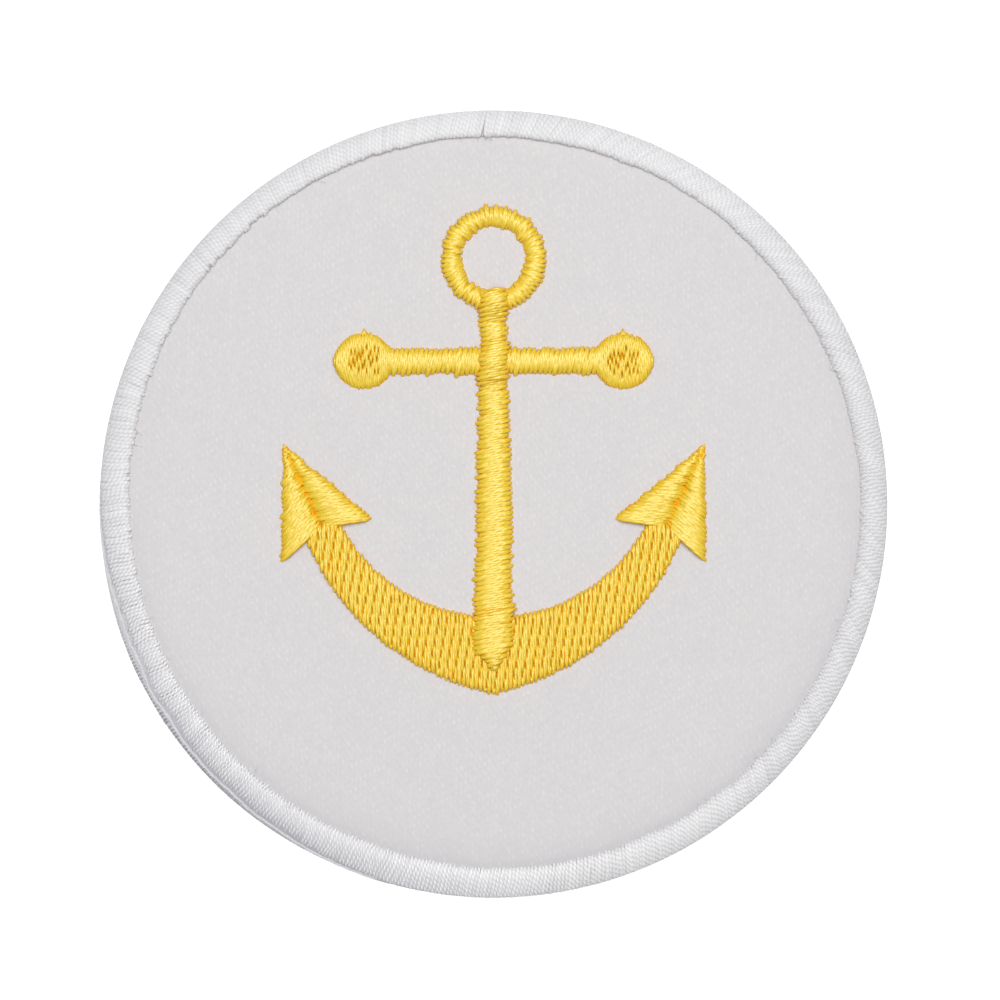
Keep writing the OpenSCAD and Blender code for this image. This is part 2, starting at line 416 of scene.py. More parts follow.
def arms():
    """A tatami fill of upright rows. Each row is cut into stitches of one length whose needle
    holes step on by a quarter of that length from row to row. Every row ends on the edge, where
    the thread turns back into the next row and draws the two together."""
    reach = ARM_END_R * math.cos(ARM_END)
    x = np.arange(-reach + 0.1, reach, FILL_STEP)
    low, high = arms_span(x)
    edges = np.stack([x, low], 1), np.stack([x, high], 1)
    under = underlay(*edges, base=FILL_LEVEL - 0.2, crown=0.0, steps=64)
    low, high = [edge + FILL_ROUGH * rng.standard_normal(len(x)) for edge in (low, high)]
    rows = np.arange(len(x))
    first = np.floor((low - CROWN_Y) / FILL_LENGTH)
    shift = (rows / FILL_OFFSETS) % 1
    most = math.ceil((high - low).max() / FILL_LENGTH) + 2
    k = np.arange(-1, most)[None]
    cut = CROWN_Y + (first[:, None] + k + shift[:, None]) * FILL_LENGTH
    cut = cut + FILL_ROUGH * rng.standard_normal(cut.shape)
    cut = np.where(cut < low[:, None] + FILL_NEAR, low[:, None], cut)
    cut = np.where(cut > high[:, None] - FILL_NEAR, high[:, None], cut)
    a, b = cut[:, :-1], cut[:, 1:]
    keep = b - a > FILL_SHORTEST
    draw = FILL_DRAW * np.where(rows % 2 == 0, 1, -1)
    at_foot, at_head = a == low[:, None], b == high[:, None]
    start_x = (x[:, None] + np.where(at_foot, draw[:, None], 0))[keep]
    end_x = (x[:, None] - np.where(at_head, draw[:, None], 0))[keep]
    start = np.stack([start_x, a[keep]], 1)
    end = np.stack([end_x, b[keep]], 1)
    fill = stitches(start, end, edge=FILL_LEVEL, crown=0.05, dive=0.21, taper=0.42, steps=11,
                    width=FILL_W, height=FILL_H)
    return join("arms_fill", [fill, under])


def fluke(side):
    """A barbed arrow as a leaf of satin: on each half the stitches run from the middle line out
    to the edge, from the notch and the barb at the foot up to near the point. They start
    behind the notch and a little over the middle line, so that the halves meet in a ridge."""
    mid_r = (ARM_END_R + HOLLOW_R) / 2
    origin = np.array([mid_r * math.cos(ARM_END), ARMS_Y - mid_r * math.sin(ARM_END)])
    turn = math.pi / 2 - ARM_END
    forward = np.array([math.cos(turn), math.sin(turn)])
    out = np.array([forward[1], -forward[0]])
    mirror = np.array([[side, 1]])
    half_length = math.hypot(FLUKE_L + FLUKE_BARB, FLUKE_W / 2)
    count = 2 * round(half_length / SATIN_STEP / 2)
    near_point, behind, over_middle = 0.985, 0.15, 0.25
    s = np.linspace(0, near_point, count + 1)[:, None]
    batches = []
    for half in (-1, 1):
        spine = (s * FLUKE_L - behind) * forward - half * over_middle * out
        barb = -FLUKE_BARB * forward + half * FLUKE_W / 2 * out
        edge = barb + (FLUKE_L * forward - barb) * s
        left, right = (origin + spine) * mirror, (origin + edge) * mirror
        batches += column(left, right, crown=0.34, inset=(0.2, UNDERLAY_INSET))
    name = "fluke_left_satin" if side < 0 else "fluke_right_satin"
    return join(name, batches)


def shank_base(y):
    """How high the shank's stitches lie over the face at height y: up on the ring's foot, down,
    up on the crossbar, down, and up on the arms' fill."""
    ring_foot = RING_Y - RING_R
    arms_top = ARMS_Y - HOLLOW_R
    climb = 0.7
    on_fill, on_bar, bar_edge = 0.42, 0.6, 0.3
    on_ring, ring_outside, ring_inside = 0.58, 0.25, 0.35
    rows = [
        (arms_top - 0.1, on_fill),
        (arms_top + climb, 0.0),
        (STOCK_LOW[1] - climb, 0.0),
        (STOCK_LOW[1], bar_edge),
        (STOCK_Y, on_bar),
        (STOCK_HIGH[1], bar_edge),
        (STOCK_HIGH[1] + climb, 0.0),
        (ring_foot - climb, 0.0),
        (ring_foot, ring_outside),
        (ring_foot + RING_BAND / 2, on_ring),
        (ring_foot + RING_BAND, ring_inside),
    ]
    y_rows, base_rows = np.array(rows).T
    return np.interp(y, y_rows, base_rows)


def shank():
    """A tapered satin column: stitches across from edge to edge, a little tilted, drawn in at
    the head, and drawn in to a point at the foot."""
    head, foot = SHANK_HIGH[1], SHANK_LOW[1]
    y = np.arange(foot, head, SATIN_STEP)
    grow = (head - y) / (head - (ARMS_Y - HOLLOW_R))
    width = SHANK_TOP_W + (SHANK_FOOT_W - SHANK_TOP_W) * np.minimum(grow, 1)
    foot_tip, foot_length = 0.12, 0.55 * SHANK_FOOT_W
    head_tip, head_length = 0.5, 0.9
    width = width * np.clip(foot_tip + (y - foot) / foot_length, 0, 1) ** 0.8
    width = width * np.clip(head_tip + (head - y) / head_length, 0, 1) ** 0.7
    tilt = 0.09 * width
    left = np.stack([-width / 2, y - tilt], 1)
    right = np.stack([width / 2, y + tilt], 1)
    return join("shank_satin", column(left, right, base=shank_base(y)))


# Border

def around(r, a, z):
    """Points at the distance r from the patch's middle, at angle a round it and at level z."""
    return np.stack(np.broadcast_arrays(r * np.cos(a), r * np.sin(a), z), -1)


def slow_noise(a, waves, seed):
    """Smooth noise round the border, about -1 to 1: a sum of eight sine waves of random phase,
    with up to the given number of waves in a round."""
    count = 8
    own = np.random.default_rng(seed)
    k = own.integers(1, waves, count)
    phase = own.random(count) * 2 * np.pi
    return np.sin(a[..., None] * k + phase).sum(-1) / 3


def bump_at(a, middle, spread, power=2):
    """A smooth bump of height one at an angle round the patch; middle and spread in degrees.
    Its top is flatter where power is 4."""
    away = (a - math.radians(middle) + math.pi) % (2 * math.pi) - math.pi
    return np.exp(-((away / math.radians(spread)) ** power))


def border_width(a):
    """The border's width at angle a: a mean, one wave and two waves round the patch, three
    bumps and small waves."""
    one_wave = 0.345 * np.cos(a + math.radians(106))
    two_waves = 0.19 * np.sin(2 * a)
    wider = 0.13 * bump_at(a, 90, 40) + 0.14 * bump_at(a, 40, 20)
    narrower = 0.18 * bump_at(a, 268, 28)
    small = 0.05 * slow_noise(a, 40, 3)
    return BORDER_W + one_wave + two_waves + wider - narrower + small


def border_slant(a):
    """The angle between a border thread and the radius at angle a: a mean, one wave round the
    patch, less at the join, and small waves."""
    one_wave = 26 * np.cos(a - math.radians(20))
    less = 14 * bump_at(a, JOIN, 7)
    small = 3 * slow_noise(a, 24, 5)
    return np.radians(20 + one_wave - less + small)


def purl_turn(a):
    """Where on the section the purl line lies, as an angle up from the rim: under the rim all
    round, apart from the lower left, where the edge has rolled up into view."""
    under_rim = 22
    rolled = 70 * bump_at(a, 216, 36, 4) + 9 * bump_at(a, 203, 14)
    small = 4 * slow_noise(a, 50, 9)
    return np.radians(rolled - under_rim + small)


def rim_radius(a):
    """The patch's radius at angle a, with the bulge of the rolled edge."""
    return PATCH_R + 0.14 * bump_at(a, 214, 25, 4)


def section(a, turn, depth):
    """A point of the border's section at angle a, at depth under its surface. It is a rounded
    box: turn goes from half a circle at the inner edge, over the top at a quarter, through 0 at
    the rim, to minus half a circle at the back. The inner corner is sharper than the outer
    one, apart from the right, and the top falls on its way out, most at the bottom. Returns
    the distance from the patch's middle and the level."""
    width = border_width(a)
    half_w = width / 2 - depth
    half_h = BORDER_TOP / 2 - depth
    c, s = np.cos(turn), np.sin(turn)
    rounder = 0.35 * bump_at(a, 335, 50)
    sharper = 0.4 * bump_at(a, 100, 65)
    power = np.where(c < 0, INNER_CORNER + rounder - sharper, OUTER_CORNER)
    out = np.sign(c) * np.abs(c) ** power
    up = np.sign(s) * np.abs(s) ** power
    r = rim_radius(a) - width / 2 + half_w * out
    fall = OUTER_FALL + 0.22 * bump_at(a, 245, 50)
    z = BORDER_TOP / 2 + half_h * up - fall * (1 + out) * np.maximum(s, 0)
    return np.broadcast_arrays(r, z)


def looseness(a):
    """How loosely the border's threads lie at angle a: 0 at the top, 1 at the lower left."""
    return bump_at(a, 236, 47)


def border_strands(a, turns, thread, flat, sides, reach=0.0, sway=0.0, lift=0.0, part=0.0,
                   tuck=(0.0, 0.12), dark_end=1.8):
    """Strands over the border's section, one at each angle a. Strand i goes through the turns of
    row i, leans by the slant as it goes out, and tucks in below the surface at its first and
    its last end. reach moves its first end towards the middle of the patch, part moves that
    end round it by an angle, sway bends it to and fro, and lift raises it. dark_end is how
    many of its points count as sunk, and so take a painted shade, at its last end, or at its
    first one where it is negative. Its tint, besides a random tone for each strand, holds
    painted light and shade: lighter near its first end, where it lies loosely, on the inner
    shoulder at the lower left and at the inner edge on the left, and darker outward and on the
    patch's left and right."""
    n, m = turns.shape
    share = np.linspace(0, 1, m)[None]
    from_first, from_last = share * m, (1 - share) * m
    width = border_width(a)[:, None]
    tuck_points, tip_points, lead_points = 1.1, 2.2, 4.5
    depth = flat / 2 - lift + tuck[0] * np.exp(-((from_first / tuck_points) ** 2))
    depth = depth + tuck[1] * np.exp(-((from_last / tuck_points) ** 2))
    r, z = section(a[:, None], turns, depth)
    inner = PATCH_R - width
    near = np.clip(1 - (r - inner) / (0.5 * width), 0, 1) ** 2
    r = r - reach * near
    lean = np.tan(border_slant(a))[:, None] * (r - inner)
    phase = 12 * a + 2.5 * slow_noise(a, 45, 23) + 0.5 * rng.standard_normal(n)
    bend = sway * np.sin(9 * share + phase[:, None])
    theta = a[:, None] - (lean + bend) / PATCH_R + part * (1 - share) ** 2.5
    lines = around(r, theta, z)
    across = np.stack([-np.sin(theta), np.cos(theta), np.zeros_like(theta)], 2)
    loose = looseness(a)[:, None]
    pinch = 0.5 + 0.5 * np.clip(np.minimum(from_first, from_last) / tip_points, 0, 1)
    pinch = pinch * (0.6 + 0.4 * np.clip(from_first / lead_points, 0, 1))
    pinch = pinch + (1 - pinch) * 0.85 * loose
    girth = 1 + 0.035 * rng.standard_normal((n, 1))
    relief = 0.36 + 0.26 * bump_at(a, 349, 60)[:, None] + 0.64 * loose
    # sunk ends take a painted shade: in the groove at the purl line, and at the rim for the back
    # strands
    if dark_end > 0:
        sunk = 0.62 * np.exp(-((from_last / dark_end) ** 2))
    else:
        # on the back strands the painted shade at the rim is strongest at the lower left, where
        # the rolled edge shows its underside
        most = 0.5 + 0.5 * bump_at(a, 211, 24)[:, None]
        sunk = most * np.exp(-((from_first / dark_end) ** 2))
    own = 0.17 + 0.1 * rng.standard_normal((n, 1))
    # painted light and shade in the tint: lighter inward, where loose, on the lower left shoulder
    # and the left inner edge, darker outward and on the left and right
    painted_inward_light = (0.55 + 0.9 * loose) * (0.5 - share)
    painted_side_shade = 0.24 * np.cos(a[:, None]) ** 2
    painted_shoulder_light = 0.5 * bump_at(a, 225, 40)[:, None] * np.exp(-(((share - 0.22) / 0.12) ** 2))
    painted_edge_light = 0.6 * bump_at(a, 155, 45)[:, None] * np.exp(-((from_first / 2.5) ** 2))
    tint = own + painted_inward_light + 0.8 * loose - painted_side_shade + painted_shoulder_light + painted_edge_light
    return strands(lines, across, thread * pinch * girth, flat * pinch, sides, tint, relief,
                   sunk)


def border():
    """Overlock stitches, one beside the next: each goes from its needle hole at the inner edge
    over the crown to the purl line at the rim. Where the last ones meet the first ones, their
    inner ends part and leave a slot. On the left they are flatter, wider and more ragged, and
    where they lie loosely they are thin and sway."""
    n = BORDER_STITCHES
    step = 2 * np.pi / n
    a = np.arange(n) * step
    loose = looseness(a)
    a = a + 0.03 * step * rng.standard_normal(n)
    away = np.sign(a - math.radians(JOIN))
    part = math.radians(0.6) * away * bump_at(a, JOIN, 0.8)
    t = np.linspace(0, 1, 17)[None]
    turns = np.pi * (1 - t) + (purl_turn(a) + 0.05 * rng.standard_normal(n))[:, None] * t
    ragged = 0.05 + 0.05 * bump_at(a, 155, 40)
    reach = ragged * rng.standard_normal(n) + 0.05
    sway = 0.015 + 0.04 * bump_at(a, 172, 30) + 0.055 * loose * (1 + 0.5 * slow_noise(a, 60, 17))
    lift = 0.02 * loose * rng.standard_normal(n)
    thread = BORDER_THREAD - 0.3 * loose + 0.05 * bump_at(a, 170, 30)
    flat = BORDER_FLAT - 0.02 * loose - 0.07 * bump_at(a, 176, 36)
    thread, flat, reach, sway, lift, part = [
        values[:, None] for values in (thread, flat, reach, sway, lift, part)
    ]
    stitched = border_strands(a, turns, thread, flat, 6, reach, sway, lift, part)
    return join("border_stitches", [stitched])


def purl():
    """The purl line: long flat links that overlap each other along the rim. Each is a low arch
    over the stitches' ends, and every second one lies a little higher on the section."""
    n = BORDER_STITCHES // 2
    link = 3.2
    t = np.linspace(-0.5, 0.5, 11)[None]
    middle = (np.arange(n) + 0.08 * rng.standard_normal(n))[:, None]
    a = (middle + link * t) * 2 * np.pi / n
    side = np.where(np.arange(n) % 2 == 0, 1, -1)[:, None]
    turn = purl_turn(a) - 0.1 + 0.035 * side * np.cos(2 * np.pi * t)
    r, z = section(a, turn, 0.22 - 0.14 * np.cos(np.pi * t))
    lines = around(r, a, z)
    across = np.stack([-np.sin(turn) * np.cos(a), -np.sin(turn) * np.sin(a), np.cos(turn)], 2)
    tint = 0.25 * rng.random((n, 1))
    return join("border_purl", [strands(lines, across, 0.29, 0.2, 6, tint, relief=0.4)])


def loose_ends():
    """Short ends at the border's inner edge: fine fibres that lie on the cloth in all directions,
    and a few thicker cut ones at the join. Each leaves the edge at its own heading and bends
    with t squared."""
    t = np.linspace(0, 1, 6)[None]
    fine, cut = 24, 6
    heading = rng.normal(0, np.repeat([0.8, 0.5], [fine, cut]))
    length = rng.uniform(0.3, np.repeat([1.0, 0.7], [fine, cut]))
    join_a = np.radians(JOIN + rng.uniform(-1.2, 1.0, cut))
    a = np.concatenate([rng.uniform(0, 2 * np.pi, fine), join_a])
    thick = np.repeat([0.04, 0.12], [fine, cut])[:, None]
    start = PATCH_R - border_width(a) + np.repeat([0.1, 0.2], [fine, cut])
    bent = heading[:, None] + rng.normal(0, 0.5, (fine + cut, 1)) * t**2
    inward = start[:, None] - length[:, None] * t * np.cos(bent)
    theta = a[:, None] + length[:, None] * t * np.sin(bent) / inward
    lines = around(inward, theta, FACE_Z - 0.03 + 0.2 * (1 - t) ** 1.5)
    across = np.stack([-np.sin(theta), np.cos(theta), np.zeros_like(theta)], 2)
    width = thick * (1 - 0.45 * t)
    return join("border_ends", [strands(lines, across, width, width, 5, relief=0.3)])


def border_back():
    """The same stitches' second half: from the purl line round the rim and under to the needle
    holes in the back."""
    n = BORDER_STITCHES
    a = (np.arange(n) + 0.5 + 0.1 * rng.standard_normal(n)) * 2 * np.pi / n
    begin = purl_turn(a) - 0.12 + 0.03 * rng.standard_normal(n)
    t = np.linspace(0, 1, 10)[None]
    turns = begin[:, None] * (1 - t) - np.pi * t
    strand = border_strands(a, turns, 0.46, 0.24, 5, tuck=(0.04, 0.3), dark_end=-5.0)
    return join("border_back", [strand])


def border_core():
    """The padding inside the border, as a closed tube: the section at a depth under the
    surface, carried round the patch. It lies higher where the stitches are loose, on the left
    and at the join. A point attribute holds how much painted shade it shows between the
    stitches, most of all beside the purl line and least on the inner shoulder."""
    n, m = 360, 24
    a = (np.arange(n) * 2 * np.pi / n)[:, None]
    turn = np.arange(m) * 2 * np.pi / m
    loose = looseness(a)
    near = np.minimum(1, 2 * loose + bump_at(a, 176, 30) + 0.4 * bump_at(a, JOIN, 2.5))
    r, z = section(a, turn[None], CORE_DEPTH - 0.085 * near)
    points = around(r, a, z).reshape(-1, 3)
    index = np.arange(n * m).reshape(n, m)
    right = np.roll(index, -1, axis=0)
    quads = np.stack([index, right, np.roll(right, -1, axis=1), np.roll(index, -1, axis=1)], -1)
    mesh = grid_mesh("border_core", points, quads.ravel(), np.full(n * m, 4))
    beside_purl = np.exp(-(((turn - purl_turn(a) - 0.3) / 0.35) ** 2))
    shoulder = np.exp(-(((turn - 2.3) / 0.7) ** 2))
    # painted shade where the core shows between the stitches
    gap_shade = loose * (0.6 + 0.4 * beside_purl - 0.45 * shoulder)
    point_values(mesh, "gap_shade", gap_shade)
    mesh.polygons.foreach_set("use_smooth", np.ones(n * m, bool))
    return piece("border_core", mesh)


# Ground

def ground():
    """The twill as a closed disc. The face's level at radius r and angle a ripples slightly near
    the border and dips along its inner edge, where the stitches pull it down, by a bell curve
    of the distance from that edge; the back is flat, and a wall joins the two. The attribute
    shade is a painted shade, how dim the cloth is beside the border, most at the bottom: a wide
    bell curve and a narrow one of the same distance."""
    spokes, rings = 288, 90
    fine_from, coarse_rings = 0.85, 50
    middle_z = FACE_Z - 0.03
    a = np.arange(spokes) * 2 * np.pi / spokes
    coarse = np.linspace(0, fine_from, coarse_rings + 1)[1:]
    fine = np.linspace(fine_from, 1, rings - coarse_rings + 1)[1:]
    rr, aa = np.meshgrid(GROUND_R * np.concatenate([coarse, fine]), a, indexing="ij")
    near = np.clip((rr - 0.72 * GROUND_R) / (0.2 * GROUND_R), 0, 1)
    ripple = 0.03 * near * slow_noise(aa, 34, 21)
    broad = 0.04 * np.sin(rr * 0.11 + aa) * np.cos(rr * 0.07 - 2 * aa)
    from_edge = np.maximum(PATCH_R - border_width(aa) - rr, 0)
    dip = 0.06 * np.exp(-((from_edge / 0.6) ** 2))
    z = middle_z + ripple + broad * (1 - near) - dip
    face = around(rr, aa, z).reshape(-1, 3)
    back_r = np.array([1.0, 0.66, 0.33])[:, None] * GROUND_R
    back = around(back_r, a, BACK_Z).reshape(-1, 3)
    points = np.concatenate([face, back, [[0, 0, middle_z]], [[0, 0, BACK_Z]]])
    index = np.arange((rings + len(back_r)) * spokes).reshape(-1, spokes)
    turned = np.roll(index, -1, axis=1)
    quads = np.stack([index[:-1], index[1:], turned[1:], turned[:-1]], -1).reshape(-1, 4)
    top, bottom = len(points) - 2, len(points) - 1
    first = np.stack([np.full(spokes, top), index[0], turned[0]], 1)
    last = np.stack([np.full(spokes, bottom), turned[-1], index[-1]], 1)
    loops = np.concatenate([quads.ravel(), first.ravel(), last.ravel()])
    sizes = np.concatenate([np.full(len(quads), 4), np.full(2 * spokes, 3)])
    mesh = grid_mesh("ground_twill", points, loops, sizes)
    mesh.polygons.foreach_set("use_smooth", np.ones(len(sizes), bool))
    # painted shade on the cloth beside the border, strongest at the bottom
    shade = 0.45 * np.exp(-((from_edge / 2.4) ** 2)) + 0.55 * np.exp(-((from_edge / 0.45) ** 2))
    shade = shade * (0.5 + 0.5 * np.cos(aa - math.radians(279)))
    spread = np.zeros(len(points))
    spread[:shade.size] = shade.ravel()
    point_values(mesh, "shade", spread)
    return piece("ground_twill", mesh)


# Materials

class Nodes:
    """Short calls for adding and linking the nodes of one tree."""

    def __init__(self, tree):
        self.tree = tree

    def add(self, kind, **settings):
        """One node, with its own settings and its inputs' values by name."""
        node = self.tree.nodes.new(kind)
        for key, value in settings.items():
            if key in node.bl_rna.properties:
                setattr(node, key, value)
            else:
                node.inputs[key.replace("_", " ")].default_value = value
        return node

    def link(self, out, into):
        """A link between two sockets."""
        self.tree.links.new(out, into)

    def math(self, operation, *values):
        """One Math node; each value is a number or a socket."""
        node = self.tree.nodes.new("ShaderNodeMath")
        node.operation = operation
        for socket, value in zip(node.inputs, values):
            if isinstance(value, (int, float)):
                socket.default_value = value
            else:
                self.link(value, socket)
        return node.outputs[0]

    def mix(self, share, a, b, way="MIX"):
        """A colour between a and b, or a multiplied by b; each is a colour or a socket."""
        node = self.tree.nodes.new("ShaderNodeMix")
        node.data_type = "RGBA"
        node.blend_type = way
        for socket, value in ((node.inputs[0], share), (node.inputs[6], a), (node.inputs[7], b)):
            if isinstance(value, (int, float, tuple)):
                socket.default_value = value
            else:
                self.link(value, socket)
        return node.outputs[2]


def group(name, inputs, outputs):
    """A new shader group. inputs are (name, default) rows and outputs are names, all numbers."""
    tree = bpy.data.node_groups.new(name, "ShaderNodeTree")
    for label, value in inputs:
        socket = tree.interface.new_socket(label, in_out="INPUT", socket_type="NodeSocketFloat")
        socket.default_value = value
    for label in outputs:
        tree.interface.new_socket(label, in_out="OUTPUT", socket_type="NodeSocketFloat")
    n = Nodes(tree)
    return tree, n, n.add("NodeGroupInput").outputs, n.add("NodeGroupOutput").inputs


def material(name):
    """A new material with an empty Principled shader. Returns it, its Nodes and the shader."""
    mat = bpy.data.materials.new(name)
    mat.use_nodes = True
    mat.node_tree.nodes.clear()
    n = Nodes(mat.node_tree)
    shader = n.add("ShaderNodeBsdfPrincipled")
    n.link(shader.outputs[0], n.add("ShaderNodeOutputMaterial").inputs[0])
    return mat, n, shader


def twist_group():
    """Two plies twisted together, with fine fibres: the height is a wave that runs round the
    strand twice for each turn of the twist, and the shade is a painted shade, darker between
    the plies. The painted shade share is 0 on top of the strand, goes up to the value of Side
    at its sides, and is up to 1 where it is sunk."""
    tree, n, given, out = group(
        "thread twist",
        [("Pitch", 1.6), ("Fibre", 0.6), ("Side", 1.0)],
        ["Height", "Shade", "Tint", "Painted shade"],
    )
    plies, ply_power, mean_shade = 2.0, 0.6, 0.7
    fibre_along, fibre_round = 1.5, 5.0
    uv = n.add("ShaderNodeUVMap", uv_map="strand")
    parts = n.add("ShaderNodeSeparateXYZ")
    n.link(uv.outputs[0], parts.inputs[0])
    along = n.math("DIVIDE", parts.outputs[0], given["Pitch"])
    turn = n.math("MULTIPLY", n.math("ADD", parts.outputs[1], along), plies)
    wave = n.math("SINE", n.math("MULTIPLY", turn, 2 * math.pi))
    ply = n.math("POWER", n.math("MULTIPLY_ADD", wave, 0.5, 0.5), ply_power)
    fine = n.add("ShaderNodeCombineXYZ")
    n.link(n.math("MULTIPLY", parts.outputs[0], fibre_along), fine.inputs[0])
    n.link(n.math("MULTIPLY", turn, fibre_round), fine.inputs[1])
    noise = n.add("ShaderNodeTexNoise", Scale=1.0, Detail=2.0)
    n.link(fine.outputs[0], noise.inputs["Vector"])
    relief = n.add("ShaderNodeAttribute", attribute_name="relief").outputs["Fac"]
    height = n.math("MULTIPLY_ADD", noise.outputs[0], given["Fibre"], ply)
    n.link(n.math("MULTIPLY", height, relief), out["Height"])
    from_mean = n.math("SUBTRACT", ply, mean_shade)
    n.link(n.math("MULTIPLY_ADD", from_mean, relief, mean_shade), out["Shade"])
    n.link(n.add("ShaderNodeAttribute", attribute_name="tint").outputs["Fac"], out["Tint"])
    round_it = n.math("SINE", n.math("MULTIPLY", parts.outputs[1], 2 * math.pi))
    side = n.math("SUBTRACT", 1.0, n.math("ABSOLUTE", round_it))
    sunk = n.add("ShaderNodeAttribute", attribute_name="sunk").outputs["Fac"]
    under = n.math("MULTIPLY_ADD", side, given["Side"], sunk)
    n.link(n.math("MINIMUM", under, 1.0), out["Painted shade"])
    return tree


def thread_material(name, twist, light, dark, deep, side, metal, glow, rough, gloss, depth,
                    pitch):
    """Glossy polyester thread: the twist group gives its plies, pitch millimetres for a turn and
    depth millimetres deep, and its colour lies between dark, a painted shade in the grooves, and
    light, shifted a little for each strand. At its sides, by the share side, and where it is sunk
    it goes over to deep, a painted shade colour for the light between packed threads, loses its
    gloss, mirrors its own colour only, by the share metal, and glows in that painted shade
    colour by the strength glow, a painted stand-in for light let through."""
    mat, n, shader = material(name)
    shader.inputs["Specular IOR Level"].default_value = gloss
    shader.inputs["Emission Strength"].default_value = glow
    node = n.add("ShaderNodeGroup", node_tree=twist, Pitch=pitch, Side=side)
    by_tint, by_shade = 0.4, 0.6
    tint = n.math("MULTIPLY", node.outputs["Tint"], by_tint)
    share = n.math("MULTIPLY_ADD", node.outputs["Shade"], by_shade, tint)
    under = node.outputs["Painted shade"]
    # under is the share of painted shade: the strand's sides and sunk parts take the painted shade
    # colour
    n.link(n.mix(under, n.mix(share, dark, light), deep), shader.inputs["Base Color"])
    n.link(n.math("MULTIPLY_ADD", under, 1.0 - rough, rough), shader.inputs["Roughness"])
    if metal:
        n.link(n.math("MULTIPLY", under, metal), shader.inputs["Metallic"])
    if glow:
        # painted glow in the painted shade colour, a stand-in for light let through the thread
        n.link(n.mix(under, (0.0, 0.0, 0.0, 1.0), deep), shader.inputs["Emission Color"])
    bump = n.add("ShaderNodeBump", Strength=1.0, Distance=depth * MM)
    n.link(node.outputs["Height"], bump.inputs["Height"])
    n.link(bump.outputs[0], shader.inputs["Normal"])
    return mat


def core_material(name, colour, gap_shade_colour):
    """Packed threads deep in the border: matt, a little mottled, and in a darker colour, a
    painted shade, where they show between the stitches."""
    mat, n, shader = material(name)
    shader.inputs["Roughness"].default_value = 0.7
    place = n.add("ShaderNodeTexCoord")
    noise = n.add("ShaderNodeTexNoise", Scale=2500.0, Detail=1.0)
    n.link(place.outputs["Object"], noise.inputs["Vector"])
    darkest = 0.85
    darker = (*[darkest * c for c in colour[:3]], 1.0)
    gap_shade = n.add("ShaderNodeAttribute", attribute_name="gap_shade").outputs["Fac"]
    packed = n.mix(noise.outputs[0], darker, colour)
    n.link(n.mix(gap_shade, packed, gap_shade_colour), shader.inputs["Base Color"])
    return mat


def twill_group():
    """A fine twill as a lattice of short floats: three sets of straight waves, the third the
    difference of the first two, stand up together at each float. The first two are given as
    waves in a metre along X and Y. Their cosines add up to between -1.5 and 3, which becomes a
    height of 0 to 1. The second output is a painted highlight: a random value for each float,
    strongest on top of it."""
    tree, n, given, out = group("twill weave", [("Blur", 0.16)], ["Height", "Highlight"])
    lowest, span = -1.5, 4.5
    top_power, rare_power = 2.0, 1.5
    place = n.add("ShaderNodeTexCoord")
    wobble = n.add("ShaderNodeTexNoise", Scale=900.0, Detail=1.0)
    n.link(place.outputs["Object"], wobble.inputs["Vector"])
    push = n.math("MULTIPLY", n.math("SUBTRACT", wobble.outputs[0], 0.5), given["Blur"])
    counts = []
    for wave in ((1620.0, 1177.0, 0.0), (2264.0, -79.0, 0.0)):
        dot = n.add("ShaderNodeVectorMath", operation="DOT_PRODUCT")
        n.link(place.outputs["Object"], dot.inputs[0])
        dot.inputs[1].default_value = wave
        counts.append(n.math("ADD", dot.outputs["Value"], push))
    third = n.math("SUBTRACT", *counts)
    waves = [n.math("COSINE", n.math("MULTIPLY", c, 2 * math.pi)) for c in (*counts, third)]
    total = n.math("ADD", n.math("ADD", waves[0], waves[1]), waves[2])
    height = n.math("MULTIPLY_ADD", total, 1 / span, -lowest / span)
    n.link(height, out["Height"])
    cell = n.add("ShaderNodeCombineXYZ")
    for c, socket in zip(counts, cell.inputs):
        n.link(n.math("ROUND", c), socket)
    white = n.add("ShaderNodeTexWhiteNoise", noise_dimensions="2D")
    n.link(cell.outputs[0], white.inputs["Vector"])
    top = n.math("POWER", n.math("MAXIMUM", height, 0.0), top_power)
    rare = n.math("POWER", white.outputs["Value"], rare_power)
    n.link(n.math("MULTIPLY", rare, top), out["Highlight"])
    return tree


